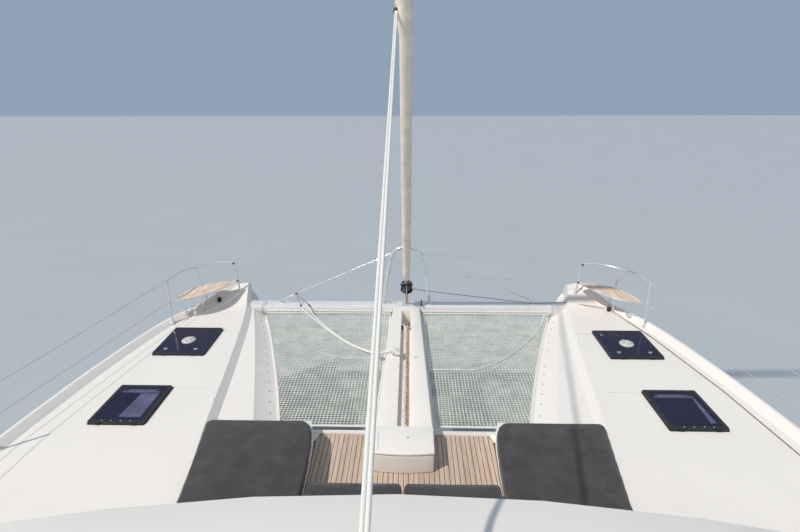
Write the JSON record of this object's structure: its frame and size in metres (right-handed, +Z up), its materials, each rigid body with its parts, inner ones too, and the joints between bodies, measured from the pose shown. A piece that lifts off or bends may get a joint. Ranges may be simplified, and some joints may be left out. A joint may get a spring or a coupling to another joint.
{
  "type": "sailing catamaran",
  "caption": "Cruising catamaran afloat: decked hulls, net foredeck, cabin, hardtop, mast, boom and furled jib, with turning helm, rudders, propellers and opening hatches.",
  "frame": {"origin": "on the waterline, on the centreline, midway between the hulls' ends", "axes": "+Y towards the bows, +X to starboard, +Z up"},
  "size_m": [8.6, 15.2, 24.8],
  "materials": {
    "gelcoat": "gloss white gelcoat",
    "antifouling": "matt dark blue bottom paint",
    "engine_paint": "satin grey green",
    "bronze": "dull bronze",
    "teak": "bare planks with dark seams",
    "mast_aluminium": "satin anodised",
    "stainless": "polished",
    "rusty_chain": "galvanised, rusted brown",
    "net": "knotless braided net",
    "dark_glass": "dark tinted acrylic",
    "black_fittings": "satin black",
    "sailcloth": "cream woven cloth",
    "bag_cloth": "grey canvas",
    "charcoal_cloth": "charcoal outdoor cloth",
    "rope": "white braid",
    "upholstery": "pale stone"
  },
  "bodies": {
    "platform": {"hull_starboard": "gelcoat", "hull_port": "gelcoat", "keel_starboard": "antifouling", "keel_port": "antifouling", "engine_saildrive_starboard": "engine_paint", "engine_saildrive_port": "engine_paint", "bridge_deck": "gelcoat", "windlass_locker": "gelcoat", "teak_sole": "teak", "crossbeam": "mast_aluminium", "centre_beam": "gelcoat", "anchor_chain": "rusty_chain", "anchor": "stainless", "striker_arch": "stainless", "trampoline_starboard": "net", "trampoline_port": "net", "pulpit_starboard": "stainless", "pulpit_port": "stainless", "bow_seat_starboard": "teak", "bow_seat_port": "teak", "saloon_walls": "gelcoat", "saloon_glazing": "dark_glass", "door_fixed_pane": "dark_glass", "coachroof": "gelcoat", "hardtop": "gelcoat", "mast": "mast_aluminium", "shrouds_starboard": "stainless", "shrouds_port": "stainless", "furled_jib": "sailcloth", "furler_drum": "black_fittings", "jib_sheet": "rope", "jib_track": "mast_aluminium", "lifelines_starboard": "stainless", "lifelines_port": "stainless", "lounge_cushion_starboard": "charcoal_cloth", "lounge_cushion_port": "charcoal_cloth", "seat_cushion_starboard": "charcoal_cloth", "seat_cushion_port": "charcoal_cloth", "cockpit_seat": "upholstery", "cockpit_table": "teak", "helm_station": "gelcoat", "saloon_furniture": "upholstery", "bridle_rope": "rope", "bridle_knot": "rope", "thin_rope": "rope"},
    "boom": {"boom": "mast_aluminium", "sail_bag": "bag_cloth"},
    "wheel": {"steering_wheel": "black_fittings"},
    "rudder_starboard": {"rudder_starboard": "antifouling"},
    "rudder_port": {"rudder_port": "antifouling"},
    "propeller_starboard": {"propeller_starboard": "bronze"},
    "propeller_port": {"propeller_port": "bronze"},
    "hatch_front_starboard": {"hatch_front_starboard": "dark_glass"},
    "hatch_front_port": {"hatch_front_port": "dark_glass"},
    "hatch_middle_starboard": {"hatch_middle_starboard": "dark_glass"},
    "hatch_middle_port": {"hatch_middle_port": "dark_glass"},
    "engine_lid_starboard": {"engine_lid_starboard": "gelcoat"},
    "engine_lid_port": {"engine_lid_port": "gelcoat"},
    "locker_lid": {"locker_lid": "gelcoat"},
    "sliding_door": {"sliding_door": "dark_glass"}
  },
  "joints": [
    {"name": "boom_swing", "type": "hinge", "parent": "platform", "child": "boom", "pos_m": [0, -1.33, 5.15], "axis": [0, 0, 1], "range_deg": [-70, 70]},
    {"name": "wheel_turn", "type": "hinge", "parent": "platform", "child": "wheel", "pos_m": [1.86, -3.52, 2.72], "axis": [0, 1, 0], "range_deg": [-540, 540]},
    {"name": "rudder_turn_starboard", "type": "hinge", "parent": "platform", "child": "rudder_starboard", "pos_m": [2.95, -6.7, 0], "axis": [0, 0, 1], "range_deg": [-35, 35]},
    {"name": "rudder_turn_port", "type": "hinge", "parent": "platform", "child": "rudder_port", "pos_m": [-2.95, -6.7, 0], "axis": [0, 0, 1], "range_deg": [-35, 35]},
    {"name": "propeller_turn_starboard", "type": "hinge", "parent": "platform", "child": "propeller_starboard", "pos_m": [2.95, -5.8, -0.9], "axis": [0, 1, 0], "continuous": true},
    {"name": "propeller_turn_port", "type": "hinge", "parent": "platform", "child": "propeller_port", "pos_m": [-2.95, -5.8, -0.9], "axis": [0, 1, 0], "continuous": true},
    {"name": "hatch_front_starboard_hinge", "type": "hinge", "parent": "platform", "child": "hatch_front_starboard", "pos_m": [3.12, 5.33, 1.986], "axis": [1, 0, 0], "range_deg": [0, 100]},
    {"name": "hatch_front_port_hinge", "type": "hinge", "parent": "platform", "child": "hatch_front_port", "pos_m": [-3.12, 5.33, 1.986], "axis": [1, 0, 0], "range_deg": [0, 100]},
    {"name": "hatch_middle_starboard_hinge", "type": "hinge", "parent": "platform", "child": "hatch_middle_starboard", "pos_m": [3.154, 3.852, 1.986], "axis": [1, 0, 0], "range_deg": [0, 85]},
    {"name": "hatch_middle_port_hinge", "type": "hinge", "parent": "platform", "child": "hatch_middle_port", "pos_m": [-3.154, 3.852, 1.986], "axis": [1, 0, 0], "range_deg": [0, 85]},
    {"name": "engine_lid_starboard_hinge", "type": "hinge", "parent": "platform", "child": "engine_lid_starboard", "pos_m": [2.95, -4.99, 1.93], "axis": [-1, 0, 0], "range_deg": [0, 90]},
    {"name": "engine_lid_port_hinge", "type": "hinge", "parent": "platform", "child": "engine_lid_port", "pos_m": [-2.95, -4.99, 1.93], "axis": [-1, 0, 0], "range_deg": [0, 90]},
    {"name": "locker_lid_hinge", "type": "hinge", "parent": "platform", "child": "locker_lid", "pos_m": [-0.322, 3.69, 1.953], "axis": [0, -1, 0], "range_deg": [0, 95]},
    {"name": "door_slide", "type": "slide", "parent": "platform", "child": "sliding_door", "axis": [-1, 0, 0], "range_m": [0, 0.86]}
  ],
  "couplings": [
    {"joint": "rudder_turn_starboard", "follows": "wheel_turn", "ratio": 0.0648},
    {"joint": "rudder_turn_port", "follows": "wheel_turn", "ratio": 0.0648}
  ]
}
